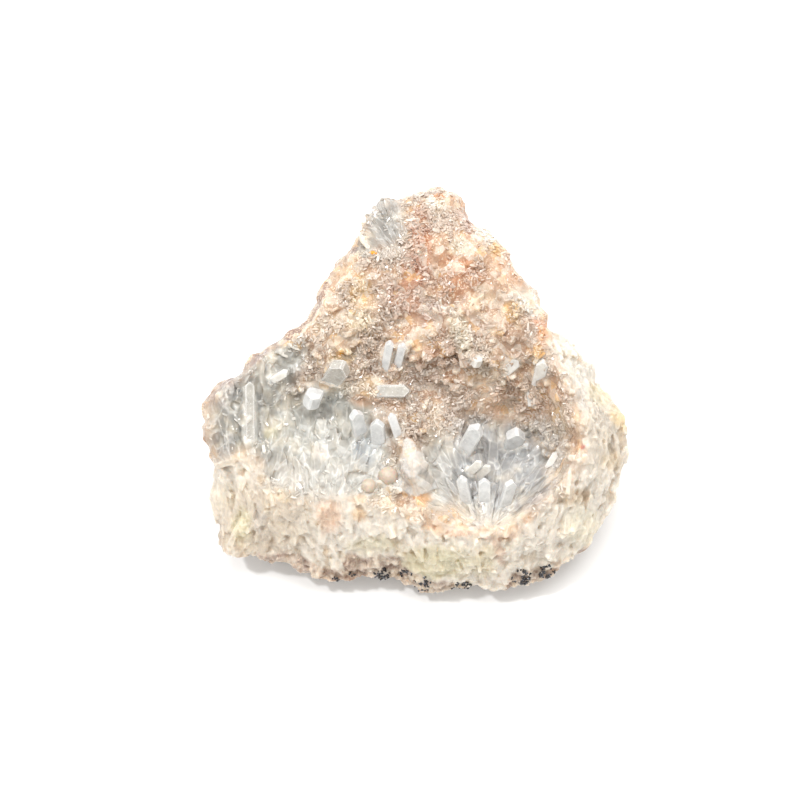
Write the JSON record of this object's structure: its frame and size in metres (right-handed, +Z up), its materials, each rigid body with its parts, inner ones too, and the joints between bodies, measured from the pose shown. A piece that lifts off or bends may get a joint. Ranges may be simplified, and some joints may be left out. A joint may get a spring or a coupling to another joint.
{
  "type": "rough celestite",
  "caption": "Broken piece of geode wall that lies on its rind, with a hollow lined by pale blue and pink-brown celestite crystals.",
  "frame": {"origin": "on the resting surface, under the middle of the stone's bounding box", "axes": "+Z up from the flat break it rests on; +X to the right and -Y towards the viewer of the open crystal face, which looks 72 degrees above the horizon"},
  "size_m": [0.081, 0.0758, 0.0334],
  "materials": {
    "geode_wall": "rough broken",
    "celestite_crystal": "clear, pale blue",
    "buff_bead": "waxy",
    "orange_grain": "resinous"
  },
  "bodies": {
    "root": {"matrix": "geode_wall", "long_blade_left": "celestite_crystal", "white_tablet_left": "celestite_crystal", "square_crystal_left": "celestite_crystal", "broad_crystal_left": "celestite_crystal", "pointed_crystal_basin": "celestite_crystal", "blade_basin_middle": "celestite_crystal", "blade_basin_right": "celestite_crystal", "flat_prism_centre": "celestite_crystal", "upright_blade_left": "celestite_crystal", "upright_blade_right": "celestite_crystal", "prism_pocket_upper": "celestite_crystal", "crystal_pocket_crown": "celestite_crystal", "twin_blade_left": "celestite_crystal", "twin_blade_right": "celestite_crystal", "fan_blade_left": "celestite_crystal", "fan_blade_middle": "celestite_crystal", "fan_blade_right": "celestite_crystal", "stub_crystal_rib": "celestite_crystal", "bright_crystal_shoulder": "celestite_crystal", "thin_blade_shoulder": "celestite_crystal", "white_crystal_crest": "celestite_crystal", "white_needle_pocket": "celestite_crystal", "bead_large": "buff_bead", "bead_small": "buff_bead", "orange_grain": "orange_grain"}
  },
  "joints": []
}
